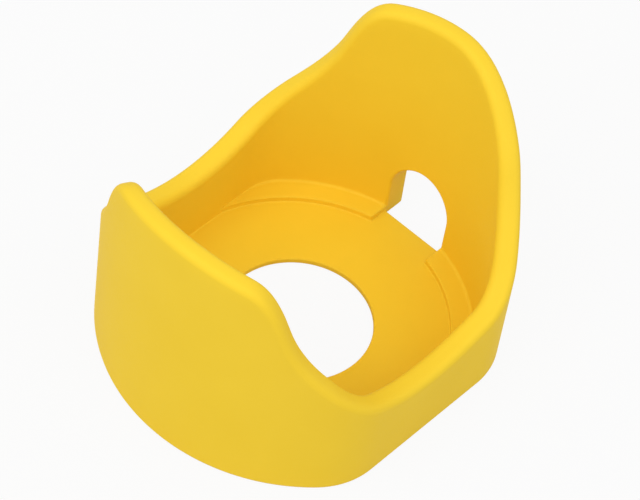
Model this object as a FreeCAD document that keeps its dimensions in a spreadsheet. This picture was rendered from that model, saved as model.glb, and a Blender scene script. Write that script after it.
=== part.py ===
"""Protective shroud for a 22 mm emergency-stop push button: a moulded body and its panel gasket.

The body is a cup with a rounded, slightly oblong outline.  Two tall end walls (lobes) shield the
palm button, and two low side valleys leave room for fingers.  The floor has the 22 mm mounting
hole and a recess for a legend disc, 45 mm across with two flats 43.4 mm apart.  The rear lobe has
an arched opening that is open to the panel, so that water and dust can leave the cup.

Frame: millimetres, +Z up, origin on the mounting hole's axis at the underside of the floor.
+Y points to the rear lobe, the one with the opening, and X runs from side to side.
"""
import FreeCAD, Part
import math
import os

import Sketcher
from FreeCAD import Vector

DOCUMENT_NAME = "button_shroud"

# alias, value in millimetres, what it is
SIZES = [
    ("half_length", 29.5, "hole axis to the outside of a lobe"),
    ("half_width", 25.5, "hole axis to the outside of a flat side"),
    ("end_radius", 30.0, "radius of each curved end, seen from above"),
    ("corner_radius", 12.0, "radius between a curved end and a flat side"),
    ("wall_at_foot", 3.8, "wall thickness where it leaves the floor"),
    ("wall_at_crest", 3.1, "wall thickness at the top of a lobe"),
    ("crest_height", 41.6, "top of a lobe above the panel"),
    ("crest_radius", 45.0, "radius of a lobe's top edge, seen from the front"),
    ("sloping_crest_radius", 13.0, "the same for the +X half of the rear lobe, which falls sooner"),
    ("valley_height", 12.1, "lowest point of the rim above the panel"),
    ("notch_radius", 24.55, "radius of the side notch, seen from the side"),
    ("shoulder_slope", 4.4, "steepest rise of the notch per millimetre"),
    ("shoulder_blend", 5.0, "height over which notch and crest run into each other"),
    ("rim_rounding", 0.9, "rounding of the rim's two edges"),
    ("foot_rounding", 0.5, "rounding of the outer bottom edge"),
    ("floor_thickness", 1.0, "floor under the legend disc, clamped by the button"),
    ("ledge_height", 2.0, "top of the raised ledge around the legend disc"),
    ("recess_diameter", 45.0, "round recess for the legend disc"),
    ("hole_diameter", 22.5, "mounting hole of a 22 mm device"),
    ("opening_width", 11.0, "arched opening at the foot of the rear lobe"),
    ("opening_height", 12.5, "top of the arch above the panel"),
    ("sill_distance", 25.4, "hole axis to where the opening cuts off the floor"),
    ("gasket_inner_diameter", 26.0, "hole of the gasket"),
    ("gasket_outer_diameter", 40.0, "outside of the gasket"),
    ("gasket_thickness", 0.4, "gasket once clamped, and the depth of its seat"),
    ("gasket_clearance", 0.1, "gap between gasket and seat, on the radius"),
]

CUTTER_REACH = 0.6          # how far the rim cutter stands past the wall's two faces
CUTTER_STATIONS = 120       # stations of the rim curve around the cup
OVERRUN = 1.0               # cuts run past a face by this much

doc = FreeCAD.newDocument(DOCUMENT_NAME)
sheet = doc.addObject("Spreadsheet::Sheet", "sizes")


def fill_sheet():
    """Put every driving dimension in the sheet, with its alias and its note."""
    for row, (alias, value, note) in enumerate(SIZES, start=1):
        sheet.set(f"A{row}", alias)
        sheet.set(f"B{row}", str(value))
        sheet.set(f"C{row}", note)
        sheet.setAlias(f"B{row}", alias)
    doc.recompute()


def size(alias):
    """Value of a driving dimension, read from the sheet."""
    return float(getattr(sheet, alias))


# ---------------------------------------------------------------- bodies and sketches

def new_body(name):
    """Body whose label is the node's name."""
    body = doc.addObject("PartDesign::Body", name)
    body.Label = name
    return body


def origin_plane(body, role):
    """One of the body's own origin planes, found by its role."""
    for feature in body.Origin.OriginFeatures:
        if feature.Role == role:
            return feature
    raise ValueError(f"{body.Label} has no {role}")


def new_sketch(body, name, role="XY_Plane", offset=None):
    """Sketch on one of the body's origin planes, lifted along its normal by an expression."""
    sketch = body.newObject("Sketcher::SketchObject", name)
    sketch.AttachmentSupport = [(origin_plane(body, role), "")]
    sketch.MapMode = "FlatFace"
    if offset:
        sketch.setExpression("AttachmentOffset.Base.z", offset)
    return sketch


def bind(sketch, expression, *constraint):
    """Add a dimensional constraint and tie its value to the sheet."""
    index = sketch.addConstraint(Sketcher.Constraint(*constraint))
    sketch.setExpression(f"Constraints[{index}]", expression)


def draw_circle(sketch, diameter, start):
    """Circle about the sketch's origin; start is its first diameter, diameter the expression."""
    circle = sketch.addGeometry(Part.Circle(Vector(), Vector(0, 0, 1), start / 2))
    sketch.addConstraint(Sketcher.Constraint("Coincident", circle, 3, -1, 1))
    bind(sketch, diameter, "Diameter", circle, start)


def corner_centre_y(end_radius, corner_radius, half_length, half_width):
    """Height of a corner's centre above the X axis, where it touches end arc and flat side."""
    end_centre = half_length - end_radius
    across = half_width - corner_radius
    return end_centre + math.sqrt((end_radius - corner_radius) ** 2 - across ** 2)


def outline_geometry(inset):
    """Eight tangent edges of the cup's outline, drawn inset by a distance, anticlockwise."""
    length = size("half_length") - inset
    width = size("half_width") - inset
    end = size("end_radius") - inset
    corner = size("corner_radius") - inset
    end_y = length - end
    corner_x = width - corner
    corner_y = corner_centre_y(end, corner, length, width)
    turn = math.atan2(corner_y - end_y, corner_x)
    normal = Vector(0, 0, 1)

    def arc(x, y, radius, start, stop):
        return Part.ArcOfCircle(Part.Circle(Vector(x, y, 0), normal, radius), start, stop)

    half = math.pi
    return [
        Part.LineSegment(Vector(width, -corner_y, 0), Vector(width, corner_y, 0)),
        arc(corner_x, corner_y, corner, 0, turn),
        arc(0, end_y, end, turn, half - turn),
        arc(-corner_x, corner_y, corner, half - turn, half),
        Part.LineSegment(Vector(-width, corner_y, 0), Vector(-width, -corner_y, 0)),
        arc(-corner_x, -corner_y, corner, half, half + turn),
        arc(0, -end_y, end, half + turn, 2 * half - turn),
        arc(corner_x, -corner_y, corner, 2 * half - turn, 2 * half),
    ]


def draw_outline(sketch, inset=None):
    """Cup outline bound to the sheet; inset is the alias of the distance it lies inside."""
    inset_value = size(inset) if inset else 0.0
    inset_cell = f"sizes.{inset}" if inset else "0"
    edges = sketch.addGeometry(outline_geometry(inset_value))
    right, corner, top, _, left, _, bottom, _ = edges
    start, stop, centre = 1, 2, 3
    for edge, following in zip(edges, edges[1:] + edges[:1]):
        sketch.addConstraint(Sketcher.Constraint("Tangent", edge, stop, following, start))
    bind(sketch, f"sizes.end_radius - {inset_cell}", "Radius", top, size("end_radius") - inset_value)
    bind(sketch, f"sizes.corner_radius - {inset_cell}", "Radius", corner,
         size("corner_radius") - inset_value)
    sketch.addConstraint(Sketcher.Constraint("Equal", top, bottom))
    for other in (3, 5, 7):
        sketch.addConstraint(Sketcher.Constraint("Equal", corner, edges[other]))
    for end in (top, bottom):
        sketch.addConstraint(Sketcher.Constraint("PointOnObject", end, centre, -2))
    half_width = size("half_width") - inset_value
    bind(sketch, f"sizes.half_width - {inset_cell}", "DistanceX", -1, 1, right, start, half_width)
    sketch.addConstraint(Sketcher.Constraint("Vertical", right))
    bind(sketch, f"2 * (sizes.half_width - {inset_cell})", "DistanceX", left, start, right, start,
         2 * half_width)
    set_back = size("end_radius") - size("half_length")
    bind(sketch, "sizes.end_radius - sizes.half_length", "DistanceY", top, centre, -1, 1, set_back)
    bind(sketch, "sizes.end_radius - sizes.half_length", "DistanceY", -1, 1, bottom, centre, set_back)
    sketch.addConstraint(Sketcher.Constraint("Vertical", left))


def draw_recess(sketch):
    """Recess for the legend disc: a circle that stops flat where it meets the two side walls."""
    radius = size("recess_diameter") / 2
    across = size("half_width") - size("wall_at_foot")
    along = math.sqrt(radius ** 2 - across ** 2)
    turn = math.atan2(along, across)
    circle = Part.Circle(Vector(), Vector(0, 0, 1), radius)
    right, rear, left, front = edges = sketch.addGeometry([
        Part.LineSegment(Vector(across, -along), Vector(across, along)),
        Part.ArcOfCircle(circle, turn, math.pi - turn),
        Part.LineSegment(Vector(-across, along), Vector(-across, -along)),
        Part.ArcOfCircle(circle, math.pi + turn, 2 * math.pi - turn),
    ])
    for edge, following in zip(edges, edges[1:] + edges[:1]):
        sketch.addConstraint(Sketcher.Constraint("Coincident", edge, 2, following, 1))
    for arc in (rear, front):
        sketch.addConstraint(Sketcher.Constraint("Coincident", arc, 3, -1, 1))
    sketch.addConstraint(Sketcher.Constraint("Equal", rear, front))
    for side in (right, left):
        sketch.addConstraint(Sketcher.Constraint("Vertical", side))
    bind(sketch, "sizes.recess_diameter / 2", "Radius", rear, radius)
    inside_width = "sizes.half_width - sizes.wall_at_foot"
    bind(sketch, inside_width, "DistanceX", -1, 1, right, 1, across)
    bind(sketch, inside_width, "DistanceX", left, 1, -1, 1, across)


def draw_rectangle(sketch, half_width, low, high, half_width_cell, low_cell, high_cell):
    """Rectangle centred on the sketch's Y axis, from low to high, with its three sizes bound."""
    corners = [Vector(-half_width, low), Vector(half_width, low), Vector(half_width, high),
               Vector(-half_width, high)]
    lines = sketch.addGeometry([Part.LineSegment(p, q) for p, q in zip(corners, corners[1:] + corners[:1])])
    for line, following in zip(lines, lines[1:] + lines[:1]):
        sketch.addConstraint(Sketcher.Constraint("Coincident", line, 2, following, 1))
    for line, direction in zip(lines, ("Horizontal", "Vertical", "Horizontal", "Vertical")):
        sketch.addConstraint(Sketcher.Constraint(direction, line))
    bottom, right, _, left = lines
    bind(sketch, half_width_cell, "DistanceX", -1, 1, right, 1, half_width)
    bind(sketch, half_width_cell, "DistanceX", left, 1, -1, 1, half_width)
    bind(sketch, low_cell, "DistanceY", -1, 1, bottom, 1, low)
    bind(sketch, high_cell, "DistanceY", -1, 1, right, 2, high)


def draw_arch(sketch):
    """Opening seen from the rear: upright sides from the top of the floor, and a round top."""
    half = size("opening_width") / 2
    spring = size("opening_height") - half
    foot_height = size("floor_thickness")
    crown = Part.ArcOfCircle(Part.Circle(Vector(0, spring, 0), Vector(0, 0, 1), half), 0, math.pi)
    right, arc, left, foot = sketch.addGeometry([
        Part.LineSegment(Vector(half, foot_height), Vector(half, spring)),
        crown,
        Part.LineSegment(Vector(-half, spring), Vector(-half, foot_height)),
        Part.LineSegment(Vector(-half, foot_height), Vector(half, foot_height)),
    ])
    sketch.addConstraint(Sketcher.Constraint("Tangent", right, 2, arc, 1))
    sketch.addConstraint(Sketcher.Constraint("Tangent", arc, 2, left, 1))
    sketch.addConstraint(Sketcher.Constraint("Coincident", left, 2, foot, 1))
    sketch.addConstraint(Sketcher.Constraint("Coincident", foot, 2, right, 1))
    sketch.addConstraint(Sketcher.Constraint("Vertical", right))
    sketch.addConstraint(Sketcher.Constraint("Horizontal", foot))
    sketch.addConstraint(Sketcher.Constraint("PointOnObject", arc, 3, -2))
    bind(sketch, "sizes.floor_thickness", "DistanceY", -1, 1, foot, 1, foot_height)
    bind(sketch, "sizes.opening_width / 2", "Radius", arc, half)
    bind(sketch, "sizes.opening_height - sizes.opening_width / 2", "DistanceY", -1, 1, arc, 3, spring)


# ---------------------------------------------------------------- features

def pocket(body, sketch, name, length=None, reverse=False):
    """Cut the sketch out of the body, to a bound depth or right through, and check that it cut."""
    doc.recompute()
    before = body.Shape.Volume
    feature = body.newObject("PartDesign::Pocket", name)
    feature.Profile = sketch
    feature.Reversed = reverse
    if length:
        feature.setExpression("Length", length)
    else:
        feature.Type = "ThroughAll"
    body.Tip = feature
    doc.recompute()
    if body.Shape.Volume >= before:
        raise RuntimeError(f"{name} cuts nothing")
    return feature


def build_cup_blank():
    """Floor, walls of full height, holes and opening: all but the shape of the rim."""
    blank = new_body("cup_blank")

    outside = new_sketch(blank, "outside_outline")
    draw_outline(outside)
    block = blank.newObject("PartDesign::Pad", "block")
    block.Profile = outside
    block.setExpression("Length", f"sizes.crest_height + {OVERRUN}")

    foot_outline = new_sketch(blank, "inside_at_foot", offset="sizes.ledge_height")
    draw_outline(foot_outline, "wall_at_foot")
    crest_outline = new_sketch(blank, "inside_at_crest", offset=f"sizes.crest_height + {2 * OVERRUN}")
    draw_outline(crest_outline, "wall_at_crest")
    doc.recompute()
    solid_volume = block.Shape.Volume
    inside = blank.newObject("PartDesign::SubtractiveLoft", "tapered_inside")
    inside.Profile = foot_outline
    inside.Sections = [crest_outline]
    inside.Ruled = True
    blank.Tip = inside
    doc.recompute()
    if blank.Shape.Volume >= solid_volume:
        raise RuntimeError("the inside was not cut out")

    recess = new_sketch(blank, "disc_recess_outline", offset="sizes.floor_thickness")
    draw_recess(recess)
    pocket(blank, recess, "disc_recess", "sizes.ledge_height - sizes.floor_thickness", reverse=True)

    hole = new_sketch(blank, "mounting_hole_circle")
    draw_circle(hole, "sizes.hole_diameter", size("hole_diameter"))
    pocket(blank, hole, "mounting_hole", reverse=True)

    arch = new_sketch(blank, "opening_arch", role="XZ_Plane", offset=f"{OVERRUN} - sizes.sill_distance")
    draw_arch(arch)
    pocket(blank, arch, "rear_opening")

    channel = new_sketch(blank, "channel_outline", offset="sizes.floor_thickness")
    draw_rectangle(channel, size("opening_width") / 2, size("hole_diameter") / 2 + OVERRUN,
                   size("sill_distance"), "sizes.opening_width / 2",
                   f"sizes.hole_diameter / 2 + {OVERRUN}", "sizes.sill_distance")
    pocket(blank, channel, "ledge_channel", "sizes.ledge_height - sizes.floor_thickness", reverse=True)

    sill = new_sketch(blank, "sill_outline")
    draw_rectangle(sill, size("opening_width") / 2, size("sill_distance"),
                   size("half_length") + OVERRUN, "sizes.opening_width / 2",
                   "sizes.sill_distance", f"sizes.half_length + {OVERRUN}")
    pocket(blank, sill, "open_sill", f"sizes.floor_thickness + {OVERRUN}", reverse=True)

    seat = new_sketch(blank, "gasket_seat_rings")
    draw_circle(seat, "sizes.gasket_inner_diameter - 2 * sizes.gasket_clearance",
                size("gasket_inner_diameter") - 2 * size("gasket_clearance"))
    draw_circle(seat, "sizes.gasket_outer_diameter + 2 * sizes.gasket_clearance",
                size("gasket_outer_diameter") + 2 * size("gasket_clearance"))
    pocket(blank, seat, "gasket_seat", "sizes.gasket_thickness", reverse=True)
    return blank


def rim_height(x, y):
    """Height of the rim above the panel where the wall's outside is at (x, y).

    Seen from the side the rim is a round notch, which goes on as a straight line once it is as
    steep as the shoulders.  Seen from the front a lobe's top is a long flat arc, but the rear
    lobe's +X half falls away in a shorter one.  The lower of the two counts, and a quadratic
    blend rounds the shoulder where they meet.
    """
    radius = size("notch_radius")
    slope = size("shoulder_slope")
    across = min(abs(y), radius * slope / math.hypot(1.0, slope))
    notch = size("valley_height") + radius - math.sqrt(radius ** 2 - across ** 2)
    notch += slope * (abs(y) - across)
    crest_radius = size("sloping_crest_radius" if x > 0 and y > 0 else "crest_radius")
    crest = size("crest_height") - x ** 2 / (2 * crest_radius)
    blend = size("shoulder_blend")
    overlap = max(blend - abs(notch - crest), 0.0)
    return min(notch, crest) - overlap ** 2 / (4 * blend)


def rim_cutter():
    """Ring of space above the rim; its underside is level across the wall at every station."""
    outline = Part.Wire(Part.sortEdges([edge.toShape() for edge in outline_geometry(0.0)])[0])
    inner_points, outer_points = [], []
    for point in outline.discretize(CUTTER_STATIONS + 1)[:-1]:
        x, y = point.x, point.y
        height = rim_height(x, y)
        radius = math.hypot(x, y)
        inside = 1 - (size("wall_at_foot") + CUTTER_REACH) / radius
        outside = 1 + CUTTER_REACH / radius
        inner_points.append(Vector(x * inside, y * inside, height))
        outer_points.append(Vector(x * outside, y * outside, height))
    curves = []
    for points in (inner_points, outer_points):
        curve = Part.BSplineCurve()
        curve.interpolate(Points=points, PeriodicFlag=True)
        curves.append(curve.toShape())
    underside = Part.makeRuledSurface(curves[0], curves[1])
    cutter = doc.addObject("Part::Feature", "rim_cutter")
    cutter.Shape = underside.extrude(Vector(0, 0, size("crest_height")))
    return cutter


def names_of(shape, chosen):
    """Names, as a fillet wants them, of the shape's edges that are among the chosen ones."""
    return [f"Edge{number}" for number, edge in enumerate(shape.Edges, start=1)
            if any(edge.isSame(other) for other in chosen)]


def edges_of_rim(shape, outside):
    """Rim edges on the wall's outside or inside.

    The rim's top is the one face that is not flat, round or tapered before it is rounded, and the
    wall's outside stands upright over the outline.
    """
    outline = Part.Wire(Part.sortEdges([edge.toShape() for edge in outline_geometry(0.0)])[0])
    upright = outline.extrude(Vector(0, 0, size("crest_height")))
    rims = [face for face in shape.Faces if isinstance(face.Surface, Part.BSplineSurface)]
    rim = max(rims, key=lambda face: face.Area)
    chosen = []
    for edge in rim.Edges:
        middle = edge.valueAt((edge.FirstParameter + edge.LastParameter) / 2)
        gap = Part.Vertex(middle).distToShape(upright)[0]
        if (gap < size("rim_rounding") / 2) == outside and not edge.isSeam(rim):
            chosen.append(edge)
    return names_of(shape, chosen)


def edges_of_foot(shape):
    """Bottom edges of the outline: on the panel, further out than the sill, and not the sill's."""
    inside = size("half_width") - size("foot_rounding")
    chosen = []
    for edge in shape.Edges:
        middle = edge.valueAt((edge.FirstParameter + edge.LastParameter) / 2)
        straight_across = abs(middle.x) < size("opening_width") / 2 + size("foot_rounding") and middle.y > 0
        if max(abs(point.z) for point in edge.discretize(3)) < 1e-6 and not straight_across:
            if math.hypot(middle.x, middle.y) > inside:
                chosen.append(edge)
    return names_of(shape, chosen)


def fillet(body, name, edges, radius):
    """Round edges of the body's tip; the radius is an alias."""
    base = body.Tip
    feature = body.newObject("PartDesign::Fillet", name)
    feature.Base = (base, edges)
    feature.setExpression("Radius", f"sizes.{radius}")
    body.Tip = feature
    doc.recompute()
    return feature


def build_shroud_body():
    """The cup with its rim cut to shape and its edges rounded."""
    trimmed = doc.addObject("Part::Cut", "trimmed_cup")
    trimmed.Base = build_cup_blank()
    trimmed.Tool = rim_cutter()
    doc.recompute()
    body = new_body("shroud_body")
    body.BaseFeature = trimmed
    doc.recompute()
    fillet(body, "rounded_rim_outside", edges_of_rim(body.Shape, True), "rim_rounding")
    fillet(body, "rounded_rim_inside", edges_of_rim(body.Shape, False), "rim_rounding")
    fillet(body, "rounded_foot", edges_of_foot(body.Shape), "foot_rounding")
    return body


def build_panel_gasket():
    """Flat ring in its seat under the floor, flush with the underside once it is clamped."""
    gasket = new_body("panel_gasket")
    rings = new_sketch(gasket, "gasket_rings")
    for edge in ("inner", "outer"):
        alias = f"gasket_{edge}_diameter"
        draw_circle(rings, f"sizes.{alias}", size(alias))
    ring = gasket.newObject("PartDesign::Pad", "gasket_ring")
    ring.Profile = rings
    ring.setExpression("Length", "sizes.gasket_thickness")
    doc.recompute()
    return gasket


def check_document(nodes):
    """Stop if any object failed, or a node's shape is empty or not sound."""
    for item in doc.Objects:
        if {"Invalid", "Error"} & set(item.State):
            raise RuntimeError(f"{item.Label} failed: {item.State}")
    for node in nodes:
        if node.Shape.isNull() or not node.Shape.isValid():
            raise RuntimeError(f"{node.Label} has no sound shape")


def write_parts(nodes):
    """One STEP file for each node, named after its label."""
    os.makedirs("parts", exist_ok=True)
    for node in nodes:
        node.Shape.exportStep(f"parts/{node.Label}.step")
        print(f"{node.Label}: {len(node.Shape.Solids)} solid, {node.Shape.Volume:.0f} mm3")


fill_sheet()
nodes = [build_shroud_body(), build_panel_gasket()]
doc.recompute()
check_document(nodes)
write_parts(nodes)
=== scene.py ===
"""Looks of a moulded shroud that guards a panel push button: body, gasket, floor, light, camera.

The body is worked out as a patchwork of grids.  Sizes are in millimetres and become metres when
a mesh is made.  The wall is laid out flat on a chart: `along` is the distance along the outside
of the outline, clockwise from the middle of the rear lobe, and `up` is the height over the panel.
"""
import logging
import math
from dataclasses import dataclass
from enum import Enum

import bmesh
import bpy
import numpy as np
from mathutils import Matrix, Vector


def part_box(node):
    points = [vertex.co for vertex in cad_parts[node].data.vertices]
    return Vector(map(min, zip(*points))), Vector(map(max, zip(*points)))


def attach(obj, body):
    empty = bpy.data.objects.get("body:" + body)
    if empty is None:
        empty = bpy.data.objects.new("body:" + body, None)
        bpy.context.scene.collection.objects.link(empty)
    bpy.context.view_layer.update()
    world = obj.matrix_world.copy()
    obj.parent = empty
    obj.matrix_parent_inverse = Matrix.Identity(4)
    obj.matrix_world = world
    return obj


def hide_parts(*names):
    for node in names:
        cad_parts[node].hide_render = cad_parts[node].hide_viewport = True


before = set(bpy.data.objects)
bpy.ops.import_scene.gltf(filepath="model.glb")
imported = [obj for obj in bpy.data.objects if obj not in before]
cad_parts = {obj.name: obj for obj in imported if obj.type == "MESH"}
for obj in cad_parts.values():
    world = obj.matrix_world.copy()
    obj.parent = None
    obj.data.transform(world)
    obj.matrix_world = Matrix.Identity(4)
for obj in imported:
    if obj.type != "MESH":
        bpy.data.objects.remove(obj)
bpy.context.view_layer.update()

MM = 0.001
GASKET_HOLE_RADIUS = 13.0       # millimetres
FLOOR_GAP = 0.1                 # millimetres between the shroud's foot and the studio's floor
FLOW_DETAIL = 3.0
GRAIN_DETAIL = 4.0
NOISE_MIDDLE = (0.3, 0.7)       # most of a noise's values lie between these
log = logging.getLogger("shroud")

Array = np.ndarray


class Face(Enum):
    """The two faces of the cup's wall."""

    OUTER = "outer"
    INNER = "inner"


# ---------------------------------------------------------------- meshes


def blend(first: Array, second: Array, share: Array) -> Array:
    """Points on straight lines from first to second, at the given shares of the way."""
    return first + (second - first) * share


def ease(value: Array) -> Array:
    """Smooth step: 0 below 0, 1 above 1, and 3v^2 - 2v^3 between."""
    inside = np.clip(value, 0.0, 1.0)
    return inside * inside * (3.0 - 2.0 * inside)


def edges_of_loops(mesh: bpy.types.Mesh) -> Array:
    """The number of the edge that each face corner starts."""
    numbers = np.empty(len(mesh.loops), dtype=np.int32)
    mesh.loops.foreach_get("edge_index", numbers)
    return numbers


class Patchwork:
    """Grids of points that share their border points, sewn into one closed mesh."""

    def __init__(self) -> None:
        """Start with no grids."""
        self.points: list[Array] = []
        self.quads: list[Array] = []
        self.count = 0

    def add(self, grid: Array, closed: bool = False) -> None:
        """Add one grid.

        Args:
            grid: points in millimetres, shaped rows x columns x 3.
            closed: whether the last column is joined to the first.
        """
        rows, columns = grid.shape[:2]
        numbers = self.count + np.arange(rows * columns).reshape(rows, columns)
        right = np.roll(numbers, -1, axis=1)
        if not closed:
            numbers, right = numbers[:, :-1], right[:, :-1]
        quads = np.stack([numbers[:-1], right[:-1], right[1:], numbers[1:]], axis=-1)
        self.points.append(grid.reshape(-1, 3))
        self.quads.append(quads.reshape(-1, 4))
        self.count += rows * columns

    def sew(self, name: str, gap: float = 0.002) -> bpy.types.Object:
        """Merge the borders and turn the faces outwards.

        Args:
            name: the object's name.
            gap: points closer than this, in millimetres, are one point.

        Returns:
            The object, linked to the scene.
        """
        mesh = bpy.data.meshes.new(name)
        points = np.concatenate(self.points) * MM
        mesh.from_pydata(points.tolist(), [], np.concatenate(self.quads).tolist())
        work = bmesh.new()
        work.from_mesh(mesh)
        bmesh.ops.remove_doubles(work, verts=work.verts, dist=gap * MM)
        bmesh.ops.recalc_face_normals(work, faces=work.faces)
        if work.calc_volume(signed=True) < 0:
            bmesh.ops.reverse_faces(work, faces=work.faces)
        work.to_mesh(mesh)
        work.free()
        mesh.shade_smooth()
        uses = np.bincount(edges_of_loops(mesh), minlength=len(mesh.edges))
        open_edges = int(np.count_nonzero(uses != 2))
        piece = bpy.data.objects.new(name, mesh)
        bpy.context.scene.collection.objects.link(piece)
        log.info("%s: %d faces, %d open edges", name, len(mesh.polygons), open_edges)
        return piece


# ---------------------------------------------------------------- the shroud's body


@dataclass
class Outline:
    """Cup outline seen from above: two end arcs, two flat sides and four tangent corner arcs."""

    half_length: float
    half_width: float
    end_radius: float = 30.0
    corner_radius: float = 12.0

    def __post_init__(self) -> None:
        """Work out where the arcs meet, and how long a quarter of the outline is."""
        self.end_y = self.half_length - self.end_radius
        self.corner_x = self.half_width - self.corner_radius
        reach = self.end_radius - self.corner_radius
        self.turn = math.asin(self.corner_x / reach)
        self.corner_y = self.end_y + reach * math.cos(self.turn)
        self.end_run = self.end_radius * self.turn
        self.corner_run = self.corner_radius * (math.pi / 2 - self.turn)
        self.quarter = self.end_run + self.corner_run + self.corner_y
        self.length = 4 * self.quarter

    def at(self, along: Array, inset: Array | float = 0.0) -> Array:
        """Points on the outline, or on a copy of it that lies inset from it.

        One quarter is an end arc, a corner arc and half a flat side.  The others are that quarter
        mirrored in X and Y.

        Args:
            along: distance along the outside, clockwise from the rear lobe's middle.
            inset: distance inwards, square to the outline.

        Returns:
            The points' X and Y, in a last axis of two.
        """
        lap = np.mod(along, self.length)
        side = np.where(lap > self.length / 2, -1.0, 1.0)
        lap = np.where(lap > self.length / 2, self.length - lap, lap)
        end = np.where(lap > self.quarter, -1.0, 1.0)
        lap = np.where(lap > self.quarter, self.length / 2 - lap, lap)
        on_end = lap < self.end_run
        past_corner = np.maximum(lap - self.end_run - self.corner_run, 0.0)
        angle = np.where(on_end, lap / self.end_radius,
                         self.turn + (lap - self.end_run) / self.corner_radius)
        angle = np.minimum(angle, math.pi / 2)
        radius = np.where(on_end, self.end_radius, self.corner_radius) - inset
        x = np.where(on_end, 0.0, self.corner_x) + radius * np.sin(angle)
        y = np.where(on_end, self.end_y, self.corner_y) + radius * np.cos(angle) - past_corner
        return np.stack([side * x, end * y], axis=-1)

    def along_at_rear(self, x: Array, inset: Array) -> Array:
        """Distance along the outside, in the rear arc, of the inset point at a given X."""
        return self.end_radius * np.arcsin(x / (self.end_radius - inset))


@dataclass
class RimPath:
    """Upper edge of the wall on the chart, and the round that breaks it.

    Seen from the side the rim is a round notch that goes on as a steep line.  Seen from the front
    a lobe's top is a long arc, but the rear lobe's +X half falls away in a shorter one.  The lower
    of the two counts, with a quadratic blend between them.
    The path is then walked at an even pace, and its corners are eased by a Gaussian.
    """

    outline: Outline
    crest_height: float
    crest_radius: float = 45.0
    sloping_crest_radius: float = 13.0
    valley_height: float = 12.1
    notch_radius: float = 24.55
    shoulder_slope: float = 4.4
    shoulder_blend: float = 5.0
    rounding: float = 1.15
    easing: float = 0.5
    samples: int = 16384

    def __post_init__(self) -> None:
        """Walk the path and keep its points, its normals and its length."""
        along = np.linspace(0.0, self.outline.length, 4 * self.samples + 1)
        up = self.height(along)
        steps = np.hypot(np.diff(along), np.diff(up))
        walked = np.concatenate([[0.0], np.cumsum(steps)])
        self.length = float(walked[-1])
        pace = np.arange(self.samples) * self.length / self.samples
        even = self.outline.length * pace / self.length
        swing = self.eased(np.interp(pace, walked, along) - even)
        level = self.eased(np.interp(pace, walked, up))
        forward = self.outline.length / self.length
        tangent = np.stack([forward + self.slope(swing), self.slope(level)], axis=-1)
        tangent /= np.linalg.norm(tangent, axis=-1, keepdims=True)
        self.pace = pace
        self.swing = swing
        self.level = level + (self.crest_height - level.max())
        self.normal_along = -tangent[:, 1]
        self.normal_up = tangent[:, 0]

    def slope(self, values: Array) -> Array:
        """Change of a closed run of values per millimetre walked, from both neighbours."""
        step = self.length / self.samples
        return (np.roll(values, -1) - np.roll(values, 1)) / (2 * step)

    def height(self, along: Array) -> Array:
        """Height of the rim over the panel, before its corners are eased.

        Args:
            along: distance along the outside from the rear lobe's middle.

        Returns:
            Heights in millimetres.
        """
        x, y = np.moveaxis(self.outline.at(along), -1, 0)
        radius, slope = self.notch_radius, self.shoulder_slope
        across = np.minimum(np.abs(y), radius * slope / math.hypot(1.0, slope))
        notch = self.valley_height + radius - np.sqrt(radius ** 2 - across ** 2)
        notch = notch + slope * (np.abs(y) - across)
        crest_radius = np.where((x > 0) & (y > 0), self.sloping_crest_radius, self.crest_radius)
        crest = self.crest_height - x ** 2 / (2 * crest_radius)
        overlap = np.maximum(self.shoulder_blend - np.abs(notch - crest), 0.0)
        return np.minimum(notch, crest) - overlap ** 2 / (4 * self.shoulder_blend)

    def eased(self, values: Array) -> Array:
        """A closed run of values, smoothed along the path by a Gaussian as wide as the easing."""
        waves = np.fft.rfftfreq(self.samples, self.length / self.samples)
        damping = np.exp(-0.5 * (2 * math.pi * waves * self.easing) ** 2)
        return np.fft.irfft(np.fft.rfft(values) * damping, self.samples)

    def at(self, walked: Array, depth: Array | float = 0.0) -> tuple[Array, Array]:
        """Chart points on the path, or a depth below it, square to the path.

        Args:
            walked: distance walked along the path from the rear lobe's middle.
            depth: distance below the path.

        Returns:
            Along and up of the points.
        """
        def look(values: Array) -> Array:
            """Values kept for the path, at the distances walked."""
            return np.interp(walked, self.pace, values, period=self.length)

        along = self.outline.length * walked / self.length + look(self.swing)
        up = look(self.level)
        return along - depth * look(self.normal_along), up - depth * look(self.normal_up)

    def walked_at(self, along: Array, reach: float) -> Array:
        """Distances walked, within reach of the rear, to where the round's foot is at `along`."""
        walked = np.linspace(-reach, reach, self.samples)
        return np.interp(along, self.at(walked, self.rounding)[0], walked)


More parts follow.
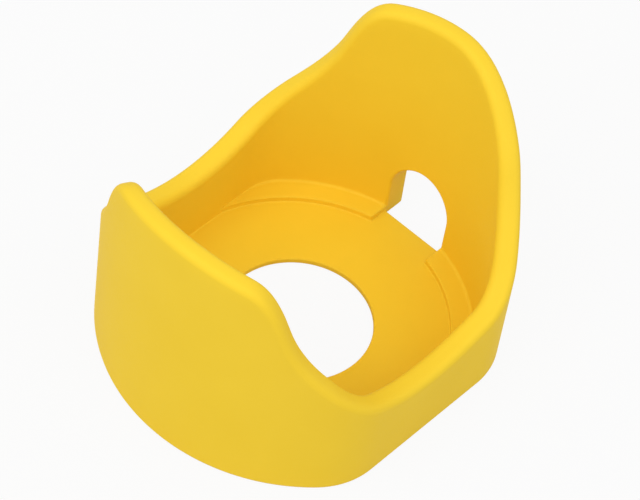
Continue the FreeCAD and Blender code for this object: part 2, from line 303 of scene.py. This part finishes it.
@dataclass
class ShroudBody:
    """The moulded cup: floor with hole and recess, wall with rim, and the rear opening.

    Its sharp edges are rounded last, by a bevel whose width is set edge by edge.

    Attributes:
        frame_half: half the width of the square field of the wall around the opening.
        even_levels: rows of the wall up to this height are level all round.
        lean: 0 puts a station's foot right below its point at the rim, 1 spaces the feet evenly.
        spacing: distance between stations along the rim.
        over_stretch: rows beside the wall over the field are this many spacings apart.
        sharp_turn: faces that turn by more than this many degrees meet in a sharp edge.
        ledge_full: the ledge's edges have their full rounds where it is at least this wide.
    """

    outline: Outline
    rim: RimPath
    floor: float = 1.0
    ledge: float = 2.0
    wall_at_foot: float = 3.8
    wall_at_crest: float = 3.1
    recess_radius: float = 22.5
    hole_radius: float = 11.25
    seat_inner: float = 12.9
    seat_outer: float = 20.1
    seat_depth: float = 0.4
    opening_half: float = 5.5
    opening_top: float = 12.5
    frame_half: float = 9.0
    even_levels: float = 3.25
    lean: float = 0.7
    spacing: float = 0.9
    over_stretch: float = 1.4
    arc_steps: int = 32
    jamb_steps: int = 6
    frame_steps: int = 4
    wall_steps: int = 5
    ledge_steps: int = 3
    floor_steps: int = 8
    round_steps: int = 6
    round_foot: float = 0.5
    round_opening: float = 0.4
    round_small: float = 0.25
    round_segments: int = 3
    sharp_turn: float = 32.0
    ledge_full: float = 3.0

    def __post_init__(self) -> None:
        """Work out the stations around the cup and the levels up its wall."""
        self.spring = self.opening_top - self.opening_half
        self.frame_top = self.spring + self.frame_half
        self.patches = Patchwork()
        self.angles = np.linspace(0.0, math.pi, self.arc_steps + 1)
        self.jamb_levels = np.concatenate([
            [0.0, self.floor, self.ledge],
            np.linspace(self.ledge, self.spring, self.jamb_steps + 1)[1:],
        ])
        self.border_levels = self.levels_at_border()
        self.lay_stations()

    # ---- where things are

    def thickness(self, up: Array) -> Array:
        """Wall thickness at a height: it tapers evenly from the ledge to the crest."""
        share = (np.asarray(up) - self.ledge) / (self.rim.crest_height - self.ledge)
        return blend(self.wall_at_foot, self.wall_at_crest, np.clip(share, 0.0, 1.0))

    def wall(self, along: Array, up: Array, inset: Array) -> Array:
        """Points of the wall from chart places and insets."""
        along, up, inset = np.broadcast_arrays(along, up, inset)
        return np.concatenate([self.outline.at(along, inset), up[..., None]], axis=-1)

    def inset_of(self, face: Face, up: Array) -> Array:
        """How far a face of the wall lies inside the outline."""
        return self.thickness(up) if face is Face.INNER else np.zeros_like(up)

    def levels_at_border(self) -> Array:
        """Levels of the wall's rows beside the opening, from the panel to the rim's round."""
        eighth = self.arc_steps // 4
        beside_arch = self.spring + self.frame_half * np.tan(self.angles[1:eighth + 1])
        border = self.rim.walked_at(np.array(self.frame_half), 2 * self.frame_half)
        top = float(self.rim.at(border, self.rim.rounding)[1])
        count = int((top - self.frame_top) / self.spacing / self.over_stretch)
        over = np.linspace(self.frame_top, top, count)
        return np.concatenate([self.jamb_levels, beside_arch, over[1:]])

    def lay_stations(self) -> None:
        """Stations over the opening, and the others, evenly spaced along the rim."""
        eighth = self.arc_steps // 4
        self.over_along = -self.frame_half / np.tan(self.angles[eighth:-eighth])
        self.over_walked = self.rim.walked_at(self.over_along, 2 * self.frame_half)
        first = float(self.over_walked[-1])
        last = self.rim.length + float(self.over_walked[0])
        count = int((last - first) / self.spacing)
        self.walked = np.linspace(first, last, count + 1)
        below = self.rim.at(self.walked, self.rim.rounding)[0]
        even = np.linspace(self.frame_half, self.outline.length - self.frame_half, count + 1)
        self.foot_along = blend(below, even, self.lean)

    # ---- the wall

    def wall_rows(self, walked: Array, foot_along: Array, levels: Array, face: Face) -> Array:
        """Rows of one face of the wall, from its lowest level up to the foot of the rim's round.

        A station is a straight line on the chart, from its foot to its point below the rim.  The
        lowest rows are level.  The others share out the rest of the line as the levels share out
        the wall beside the opening, where the rim is not as high on one side as on the other.

        Args:
            walked: each station's distance walked along the rim.
            foot_along: each station's foot on the chart.
            levels: heights of the rows beside the opening.
            face: the face that the rows lie in.

        Returns:
            Points, shaped levels x stations x 3.
        """
        top_along, top_up = self.rim.at(walked, self.rim.rounding)
        kept = max(levels[0], self.even_levels)
        highest = np.linspace(top_up[0], top_up[-1], walked.size)
        stretch = (highest - self.frame_top) / (levels[-1] - self.frame_top)
        over = np.maximum(levels - self.frame_top, 0.0)[:, None]
        wanted = np.minimum(levels, self.frame_top)[:, None] + over * stretch
        share = (wanted - kept) / (highest - kept)
        up = np.where(share > 0, blend(kept, top_up, share), levels[:, None])
        along = blend(foot_along, top_along, (up - levels[0]) / (top_up - levels[0]))
        return self.wall(along, up, self.inset_of(face, up))

    def rim_rows(self, walked: Array) -> Array:
        """Rows over the rim, from the outer face to the inner: a quarter round, a flat, another.

        A row of a quarter round at angle a lies r(1 - sin a) below the rim's path, square to the
        path, and r(1 - cos a) inside the face.

        Args:
            walked: each station's distance walked along the rim.

        Returns:
            Points, shaped rows x stations x 3.
        """
        turn = np.linspace(0.0, math.pi / 2, self.round_steps + 1)[:, None]
        depth = self.rim.rounding * (1 - np.sin(turn))
        bite = self.rim.rounding * (1 - np.cos(turn))
        along, up = self.rim.at(walked[None, :], depth)
        thick = self.thickness(up)
        outer = self.wall(along, up, bite + 0 * up)
        middle = self.wall(along[-1:], up[-1:], thick[-1:] / 2)
        inner = self.wall(along, up, thick - bite)[::-1]
        return np.concatenate([outer, middle, inner])

    def build_wall(self) -> None:
        """The whole wall but for the field around the opening."""
        outer = self.wall_rows(self.walked, self.foot_along, self.border_levels, Face.OUTER)
        inner_levels = self.border_levels[self.border_levels >= self.ledge]
        inner = self.wall_rows(self.walked, self.foot_along, inner_levels, Face.INNER)
        rim = self.rim_rows(self.walked)
        self.patches.add(np.concatenate([outer[:-1], rim, inner[::-1][1:]]))
        foot = self.foot_along
        under = [self.wall(foot, 0 * foot, share * self.wall_at_foot)
                 for share in np.linspace(0.0, 1.0, self.wall_steps + 1)]
        self.patches.add(np.stack(under))

    def build_wall_over_opening(self) -> None:
        """The wall above the field around the opening, with its stretch of rim."""
        just_below = self.frame_top - self.spacing / 10
        levels = self.border_levels[self.border_levels > just_below]
        outer, inner = (
            self.wall_rows(self.over_walked, self.over_along, levels, face) for face in Face)
        rim = self.rim_rows(self.over_walked)
        self.patches.add(np.concatenate([outer[:-1], rim, inner[::-1][1:]]))

    # ---- the rear opening

    def up_and_over(self, levels: Array, half: float,
                    reach: Array | float) -> tuple[Array, Array]:
        """Up one upright side, over the arch's centre and down the other side.

        Args:
            levels: heights of the points on each upright side, from the foot to the spring.
            half: distance of both sides from the middle.
            reach: distance from the arch's centre of the points above the spring.

        Returns:
            Distance from the middle, and up, of the points.
        """
        side = levels[:-1]
        across = np.concatenate([
            0 * side + half, reach * np.cos(self.angles), 0 * side - half])
        up = np.concatenate([side, self.spring + reach * np.sin(self.angles), side[::-1]])
        return across, up

    def arch(self, levels: Array) -> tuple[Array, Array]:
        """X and up of the opening's edge seen from the rear, from the right foot to the left."""
        return self.up_and_over(levels, self.opening_half, self.opening_half)

    def arch_frame(self, levels: Array) -> tuple[Array, Array]:
        """Chart points of the square field's edge, each on a ray from the arch's centre."""
        widest = np.maximum(np.abs(np.cos(self.angles)), np.sin(self.angles))
        return self.up_and_over(levels, self.frame_half, self.frame_half / widest)

    def build_field(self, face: Face) -> None:
        """One face of the wall between the opening's edge and the edge of the square field."""
        lowest = 0.0 if face is Face.OUTER else self.ledge
        levels = self.jamb_levels[self.jamb_levels >= lowest]
        x, up = self.arch(levels)
        along = self.outline.along_at_rear(x, self.inset_of(face, up))
        far_along, far_up = self.arch_frame(levels)
        share = np.linspace(0.0, 1.0, self.frame_steps + 1)[:, None]
        up = blend(up, far_up, share)
        self.patches.add(self.wall(blend(along, far_along, share), up, self.inset_of(face, up)))

    def build_tunnel(self) -> None:
        """The opening's sides and top, straight through the wall from face to face."""
        x, up = self.arch(self.jamb_levels)
        sides = []
        for face in (Face.INNER, Face.OUTER):
            inset = self.inset_of(face, up)
            sides.append(self.wall(self.outline.along_at_rear(x, inset), up, inset))
        share = np.linspace(0.0, 1.0, self.wall_steps + 1)[:, None, None]
        self.patches.add(blend(sides[0], sides[1], share))

    def build_wall_foot_beside_opening(self) -> None:
        """Underside of the wall between the opening and the rest of the wall, on both sides."""
        share = np.linspace(0.0, 1.0, self.frame_steps + 1)
        across = np.linspace(0.0, 1.0, self.wall_steps + 1)[:, None]
        for side in (1.0, -1.0):
            ends = []
            for inset in (self.wall_at_foot, 0.0):
                near = self.outline.along_at_rear(self.opening_half, inset)
                along = side * blend(near, self.frame_half, share)
                ends.append(self.wall(along, 0 * along, inset))
            self.patches.add(blend(ends[0], ends[1], across[..., None]))

    # ---- the floor

    def build_floor(self) -> None:
        """Ledge, recess, hole and underside in one closed grid, and the sill of the opening.

        Each station runs from the foot of the wall's inner face over the ledge and down into the
        recess, through the hole and back under the floor.  In the opening it starts at the sill
        and stays at the level of the floor.
        """
        share = np.linspace(0.0, 1.0, self.frame_steps + 1)
        near = self.outline.along_at_rear(self.opening_half, self.wall_at_foot)
        beside = blend(near, self.frame_half, share)
        along = np.concatenate([beside, self.foot_along[1:-1], -beside[::-1]])
        foot = self.outline.at(along, self.wall_at_foot)
        sill_x = np.linspace(-self.opening_half, self.opening_half, self.arc_steps // 2 + 1)
        sill = np.stack([sill_x, 0 * sill_x + foot[0, 1]], axis=-1)
        edge = np.concatenate([foot, sill])
        top = np.concatenate([0 * along + self.ledge, 0 * sill_x + self.floor])
        from_rear = np.concatenate([np.minimum(np.mod(along, self.outline.length),
                                               np.mod(-along, self.outline.length)), 0 * sill_x])
        bearing = np.arctan2(edge[:, 0], edge[:, 1])
        reach = np.hypot(edge[:, 0], edge[:, 1])
        square_on = np.arcsin(np.clip(edge[:, 0] / self.recess_radius, -1.0, 1.0))
        turn = np.where(edge[:, 1] > 0, blend(square_on, bearing, ease(
            (from_rear - self.frame_half) / self.frame_half)), bearing)
        recess = self.circle(turn, np.minimum(self.recess_radius, reach))
        hole = self.circle(bearing, self.hole_radius)
        seat_in = self.circle(bearing, self.seat_inner)
        seat_out = self.circle(bearing, self.seat_outer)
        rows = self.rows_between(edge, recess, top, self.ledge_steps)
        rows += self.rows_between(recess, hole, self.floor, self.floor_steps)
        rows += self.rows_between(hole, seat_in, 0.0, 1)
        rows += self.rows_between(seat_in, seat_out, self.seat_depth, self.ledge_steps)
        rows += self.rows_between(seat_out, edge, 0.0, self.ledge_steps)
        self.patches.add(np.stack(rows), closed=True)
        levels = self.jamb_levels[self.jamb_levels <= self.floor]
        self.patches.add(np.stack([self.lift(sill, level) for level in levels]))
        self.edge_bearing = bearing[:along.size]
        self.edge_reach = reach[:along.size]

    @staticmethod
    def circle(bearing: Array, radius: Array | float) -> Array:
        """Points on a circle about the hole's axis; the bearing is clockwise from the rear."""
        return np.stack([radius * np.sin(bearing), radius * np.cos(bearing)], axis=-1)

    @staticmethod
    def lift(flat: Array, up: Array | float) -> Array:
        """Points in space over points seen from above."""
        return np.concatenate([flat, np.broadcast_to(up, flat.shape[:1])[:, None]], axis=-1)

    def rows_between(self, first: Array, last: Array, up: Array | float,
                     steps: int) -> list[Array]:
        """Rows evenly spaced from one line to another, with both lines among them.

        Args:
            first: X and Y of the first line's points.
            last: X and Y of the last line's points.
            up: height of the rows, or of each of their points.
            steps: number of gaps between the rows.

        Returns:
            The rows' points in space.
        """
        shares = np.linspace(0.0, 1.0, steps + 1)
        return [self.lift(blend(first, last, share), up) for share in shares]

    # ---- the edges

    def round_edges(self, piece: bpy.types.Object) -> None:
        """Give the piece a bevel, with each sharp edge's own width.

        Args:
            piece: the sewn cup, with two faces at every edge.
        """
        mesh = piece.data
        points = np.empty(len(mesh.vertices) * 3)
        mesh.vertices.foreach_get("co", points)
        ends = np.empty(len(mesh.edges) * 2, dtype=np.int32)
        mesh.edges.foreach_get("vertices", ends)
        middle = points.reshape(-1, 3)[ends.reshape(-1, 2)].mean(axis=1) / MM
        sides = np.empty(len(mesh.polygons), dtype=np.int32)
        mesh.polygons.foreach_get("loop_total", sides)
        normals = np.empty(len(mesh.polygons) * 3)
        mesh.polygons.foreach_get("normal", normals)
        loop_faces = np.repeat(np.arange(len(mesh.polygons)), sides)
        pairs = loop_faces[np.argsort(edges_of_loops(mesh), kind="stable")].reshape(-1, 2)
        normals = normals.reshape(-1, 3)
        turn = np.sum(normals[pairs[:, 0]] * normals[pairs[:, 1]], axis=1)
        sharp = turn < math.cos(math.radians(self.sharp_turn))
        widths = np.where(sharp, self.edge_widths(middle), 0.0)
        weights = mesh.attributes.new("bevel_weight_edge", "FLOAT", "EDGE")
        weights.data.foreach_set("value", (widths / self.round_foot).astype(np.float32))
        bevel = piece.modifiers.new("edge_rounds", "BEVEL")
        bevel.limit_method = "WEIGHT"
        bevel.width = self.round_foot * MM
        bevel.segments = self.round_segments
        bevel.use_clamp_overlap = False
        bevel.harden_normals = True
        log.info("%s: %d edges rounded", piece.name, int(np.count_nonzero(widths)))

    def edge_widths(self, middle: Array) -> Array:
        """Width of the round on each edge, from where its middle is.

        The ledge thins out to nothing beside the flat sides, and its rounds shrink with the
        square of its width.

        Args:
            middle: middles of the edges, in millimetres.

        Returns:
            Widths in millimetres.
        """
        x, y, up = middle.T
        radius = np.hypot(x, y)
        bearing = np.arctan2(x, y)
        order = np.argsort(self.edge_bearing)
        foot = np.interp(bearing, self.edge_bearing[order], self.edge_reach[order])
        room = np.clip((foot - self.recess_radius) / self.ledge_full, 0.0, 1.0) ** 2
        near = self.round_small
        on_ledge = np.abs(up - self.ledge) < near
        clear = np.abs(x) > self.opening_half + near
        crease = on_ledge & clear & (np.abs(radius - foot) < near)
        lip = on_ledge & clear & (np.abs(radius - self.recess_radius) < near)
        in_seat = (radius > self.seat_inner - near) & (radius < self.seat_outer + near)
        in_seat &= up < self.floor
        outside = radius > foot + self.wall_at_foot / 2
        widths = np.full(x.shape, self.round_small)
        widths = np.where(outside & (up < near), self.round_foot, widths)
        through = (np.abs(x) < self.opening_half + near) & (radius > foot - near) & (y > 0)
        widths = np.where(through & (up > self.ledge), self.round_opening, widths)
        widths = np.where(crease, self.round_foot * room, widths)
        widths = np.where(lip, self.round_small * room, widths)
        return np.where(in_seat, 0.0, widths)

    def build(self) -> bpy.types.Object:
        """Build the patches, sew them together and round the edges."""
        self.build_wall()
        self.build_wall_over_opening()
        for face in Face:
            self.build_field(face)
        self.build_tunnel()
        self.build_wall_foot_beside_opening()
        self.build_floor()
        piece = self.patches.sew("shroud_shell")
        self.round_edges(piece)
        return piece


@dataclass
class PanelGasket:
    """Flat ring with broken edges: a rounded strip's section carried around the hole's axis."""

    inner_radius: float
    outer_radius: float
    thickness: float
    edge: float = 0.12
    edge_steps: int = 3
    turn_steps: int = 144

    def section(self) -> Array:
        """Radius and height around the strip: four quarter rounds joined by straight runs."""
        quarter = np.linspace(0.0, math.pi / 2, self.edge_steps + 1)
        corners = []
        for number in range(4):
            angle = quarter + number * math.pi / 2
            right = number in (0, 3)
            upper = number in (0, 1)
            centre_r = self.outer_radius - self.edge if right else self.inner_radius + self.edge
            centre_z = self.thickness - self.edge if upper else self.edge
            corners.append(np.stack([centre_r + self.edge * np.cos(angle),
                                     centre_z + self.edge * np.sin(angle)], axis=-1))
        loop = np.concatenate(corners)
        return np.concatenate([loop, loop[:1]])

    def build(self) -> bpy.types.Object:
        """Carry the section around the axis."""
        radius, up = self.section().T
        bearing = np.linspace(0.0, 2 * math.pi, self.turn_steps, endpoint=False)
        x = radius[:, None] * np.sin(bearing)
        y = radius[:, None] * np.cos(bearing)
        ring = Patchwork()
        ring.add(np.stack([x, y, np.broadcast_to(up[:, None], x.shape)], axis=-1), closed=True)
        return ring.sew("gasket_ring")


# ---------------------------------------------------------------- finishes


def new_material(name: str) -> tuple[bpy.types.Material, bpy.types.ShaderNodeTree, bpy.types.Node]:
    """A material with a node tree, and its main shader."""
    material = bpy.data.materials.new(name)
    material.use_nodes = True
    tree = material.node_tree
    return material, tree, tree.nodes["Principled BSDF"]


def add_noise(tree: bpy.types.ShaderNodeTree, size_mm: float, detail: float) -> bpy.types.Node:
    """Noise on the object's own coordinates, with lumps of a given size."""
    place = tree.nodes.new("ShaderNodeTexCoord")
    noise = tree.nodes.new("ShaderNodeTexNoise")
    noise.inputs["Scale"].default_value = 1 / (size_mm * MM)
    noise.inputs["Detail"].default_value = detail
    tree.links.new(place.outputs["Object"], noise.inputs["Vector"])
    return noise


def add_range(tree: bpy.types.ShaderNodeTree, source: bpy.types.Node, low: float,
              high: float) -> bpy.types.Node:
    """Turn a noise's middle values into a range of numbers, from low to high."""
    span = tree.nodes.new("ShaderNodeMapRange")
    span.inputs["From Min"].default_value = NOISE_MIDDLE[0]
    span.inputs["From Max"].default_value = NOISE_MIDDLE[1]
    span.inputs["To Min"].default_value = low
    span.inputs["To Max"].default_value = high
    tree.links.new(source.outputs["Fac"], span.inputs["Value"])
    return span


@dataclass(frozen=True)
class Moulded:
    """Plastic or rubber straight from the mould: faint flow in the colour, fine grain, satin."""

    name: str
    light: tuple[float, float, float]
    deep: tuple[float, float, float]
    roughness: tuple[float, float]
    flow_mm: float
    grain_mm: float
    grain_depth_mm: float
    specular: float = 0.5

    def build(self) -> bpy.types.Material:
        """Make the material's nodes."""
        material, tree, shader = new_material(self.name)
        flow = add_noise(tree, self.flow_mm, FLOW_DETAIL)
        share = add_range(tree, flow, 0.0, 1.0)
        mix = tree.nodes.new("ShaderNodeMix")
        mix.data_type = "RGBA"
        mix.inputs["A"].default_value = (*self.light, 1.0)
        mix.inputs["B"].default_value = (*self.deep, 1.0)
        tree.links.new(share.outputs["Result"], mix.inputs["Factor"])
        tree.links.new(mix.outputs["Result"], shader.inputs["Base Color"])
        grain = add_noise(tree, self.grain_mm, GRAIN_DETAIL)
        gloss = add_range(tree, grain, *self.roughness)
        tree.links.new(gloss.outputs["Result"], shader.inputs["Roughness"])
        bump = tree.nodes.new("ShaderNodeBump")
        bump.inputs["Distance"].default_value = self.grain_depth_mm * MM
        tree.links.new(grain.outputs["Fac"], bump.inputs["Height"])
        tree.links.new(bump.outputs["Normal"], shader.inputs["Normal"])
        shader.inputs["Specular IOR Level"].default_value = self.specular
        return material


YELLOW = Moulded("warning_yellow", light=(0.90, 0.615, 0.031), deep=(0.88, 0.595, 0.027),
                 roughness=(0.58, 0.68), flow_mm=14.0, grain_mm=0.35, grain_depth_mm=0.004,
                 specular=0.2)
RUBBER = Moulded("gasket_black", light=(0.035, 0.035, 0.035), deep=(0.025, 0.025, 0.025),
                 roughness=(0.7, 0.85), flow_mm=6.0, grain_mm=0.25, grain_depth_mm=0.01)


# ---------------------------------------------------------------- the studio


@dataclass
class SoftBox:
    """Square lamp that looks at the object from a bearing and a height angle."""

    name: str
    bearing: float
    rise: float
    distance: float
    size: float
    power: float

    def build(self, target: Vector) -> None:
        """Hang the lamp and point it at the target."""
        lamp = bpy.data.lights.new(self.name, "AREA")
        lamp.shape = "SQUARE"
        lamp.size = self.size
        lamp.energy = self.power
        holder = bpy.data.objects.new(self.name, lamp)
        towards = direction(self.bearing, self.rise)
        holder.location = target + self.distance * towards
        holder.rotation_euler = towards.to_track_quat("Z", "Y").to_euler()
        bpy.context.scene.collection.objects.link(holder)


def direction(bearing: float, rise: float) -> Vector:
    """Unit vector; the bearing turns from the front (-Y) towards +X, in degrees."""
    turn, lift = math.radians(bearing), math.radians(rise)
    level = math.cos(lift)
    return Vector((math.sin(turn) * level, -math.cos(turn) * level, math.sin(lift)))


@dataclass
class Studio:
    """Pale floor, white surroundings, soft lamps and the camera.

    Attributes:
        aim: the point that the camera and the lamps look at, in metres.
        roll: how far the camera leans about its own line of sight, in degrees.
        floor_white: share of pure white in the floor as the camera sees it.
        floor_grey: how much light the floor throws back at the object.
    """

    floor_height: float
    aim: tuple[float, float, float] = (0.0003, 0.0024, 0.0150)
    bearing: float = 36.46
    rise: float = 49.77
    roll: float = 9.18
    distance: float = 0.4233
    lens: float = 166.6
    floor_size: float = 3.0
    floor_squares: int = 8
    floor_grey: float = 0.55
    floor_roughness: float = 0.9
    world_strength: float = 0.75
    floor_white: float = 0.92
    lamps: tuple[SoftBox, ...] = (
        SoftBox("key", bearing=-10.0, rise=48.0, distance=0.9, size=0.7, power=3.0),
        SoftBox("fill", bearing=80.0, rise=50.0, distance=1.1, size=0.8, power=2.4),
    )

    def build_floor(self) -> bpy.types.Object:
        """Level floor, seen nearly white, which keeps a faint shadow."""
        half = self.floor_size / 2
        steps = np.linspace(-half, half, self.floor_squares + 1)
        x, y = np.meshgrid(steps, steps)
        grid = np.stack([x, y, 0 * x + self.floor_height], axis=-1) / MM
        patch = Patchwork()
        patch.add(grid)
        floor = patch.sew("floor")
        material, tree, shader = new_material("floor_paper")
        shader.inputs["Base Color"].default_value = (*[self.floor_grey] * 3, 1.0)
        shader.inputs["Roughness"].default_value = self.floor_roughness
        glow = tree.nodes.new("ShaderNodeEmission")
        mix = tree.nodes.new("ShaderNodeMixShader")
        tree.links.new(self.seen_directly(tree, self.floor_white), mix.inputs["Fac"])
        tree.links.new(shader.outputs["BSDF"], mix.inputs[1])
        tree.links.new(glow.outputs["Emission"], mix.inputs[2])
        tree.links.new(mix.outputs["Shader"], tree.nodes["Material Output"].inputs["Surface"])
        floor.data.materials.append(material)
        return floor

    @staticmethod
    def seen_directly(tree: bpy.types.ShaderNodeTree, share: float) -> bpy.types.NodeSocket:
        """A share for rays from the camera and from gloss, and nothing for the others."""
        path = tree.nodes.new("ShaderNodeLightPath")
        either = tree.nodes.new("ShaderNodeMath")
        either.operation = "MAXIMUM"
        tree.links.new(path.outputs["Is Camera Ray"], either.inputs[0])
        tree.links.new(path.outputs["Is Glossy Ray"], either.inputs[1])
        scaled = tree.nodes.new("ShaderNodeMath")
        scaled.operation = "MULTIPLY"
        scaled.inputs[1].default_value = share
        tree.links.new(either.outputs["Value"], scaled.inputs[0])
        return scaled.outputs["Value"]

    def build_world(self) -> None:
        """White surroundings: full white to the eye, softer as a light."""
        world = bpy.data.worlds.new("studio_world")
        bpy.context.scene.world = world
        world.use_nodes = True
        tree = world.node_tree
        background = tree.nodes["Background"]
        background.inputs["Color"].default_value = (1.0, 1.0, 1.0, 1.0)
        rest = 1.0 - self.world_strength
        strength = tree.nodes.new("ShaderNodeMath")
        strength.operation = "ADD"
        strength.inputs[1].default_value = self.world_strength
        tree.links.new(self.seen_directly(tree, rest), strength.inputs[0])
        tree.links.new(strength.outputs["Value"], background.inputs["Strength"])

    def build_camera(self) -> None:
        """Long lens that looks at the aim from the bearing and the rise, and leans by the roll."""
        camera = bpy.data.cameras.new("camera")
        camera.lens = self.lens
        camera.clip_start = self.distance / 10
        holder = bpy.data.objects.new("camera", camera)
        towards = direction(self.bearing, self.rise)
        turn = math.radians(self.bearing)
        level = Vector((math.cos(turn), math.sin(turn), 0.0))
        raised = towards.cross(level)
        lean = math.radians(self.roll)
        right = math.cos(lean) * level + math.sin(lean) * raised
        above = math.cos(lean) * raised - math.sin(lean) * level
        place = Vector(self.aim) + self.distance * towards
        rows = [(*axes, spot) for axes, spot in zip(zip(right, above, towards), place)]
        holder.matrix_world = Matrix([*rows, (0.0, 0.0, 0.0, 1.0)])
        bpy.context.scene.collection.objects.link(holder)
        bpy.context.scene.camera = holder

    def build(self) -> bpy.types.Object:
        """Build everything around the object; returns the floor."""
        self.build_world()
        for lamp in self.lamps:
            lamp.build(Vector(self.aim))
        self.build_camera()
        bpy.context.scene.view_settings.view_transform = "Standard"
        return self.build_floor()


# ---------------------------------------------------------------- all of it


def dress(piece: bpy.types.Object, finish: Moulded, node: str) -> None:
    """Give a piece its finish, and let it stand for a CAD node on the only body.

    Args:
        piece: the piece to dress.
        finish: what it is made of.
        node: the CAD node that it replaces.
    """
    piece.data.materials.append(finish.build())
    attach(piece, "root")
    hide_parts(node)
    log.info("%s stands for %s, finish %s", piece.name, node, finish.name)


def build_shroud() -> None:
    """The yellow cup, as large as its CAD node."""
    _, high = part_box("shroud_body")
    outline = Outline(half_length=high.y / MM, half_width=high.x / MM)
    rim = RimPath(outline, crest_height=high.z / MM)
    dress(ShroudBody(outline, rim).build(), YELLOW, "shroud_body")


def build_gasket() -> None:
    """The rubber ring under the floor, as large as its CAD node."""
    _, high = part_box("panel_gasket")
    ring = PanelGasket(inner_radius=GASKET_HOLE_RADIUS, outer_radius=high.x / MM,
                       thickness=high.z / MM)
    dress(ring.build(), RUBBER, "panel_gasket")


def main() -> None:
    """Build the object and the studio."""
    logging.basicConfig(level=logging.INFO, format="%(message)s")
    build_shroud()
    build_gasket()
    low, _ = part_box("shroud_body")
    Studio(floor_height=low.z - FLOOR_GAP * MM).build()


if __name__ == "__main__":
    main()
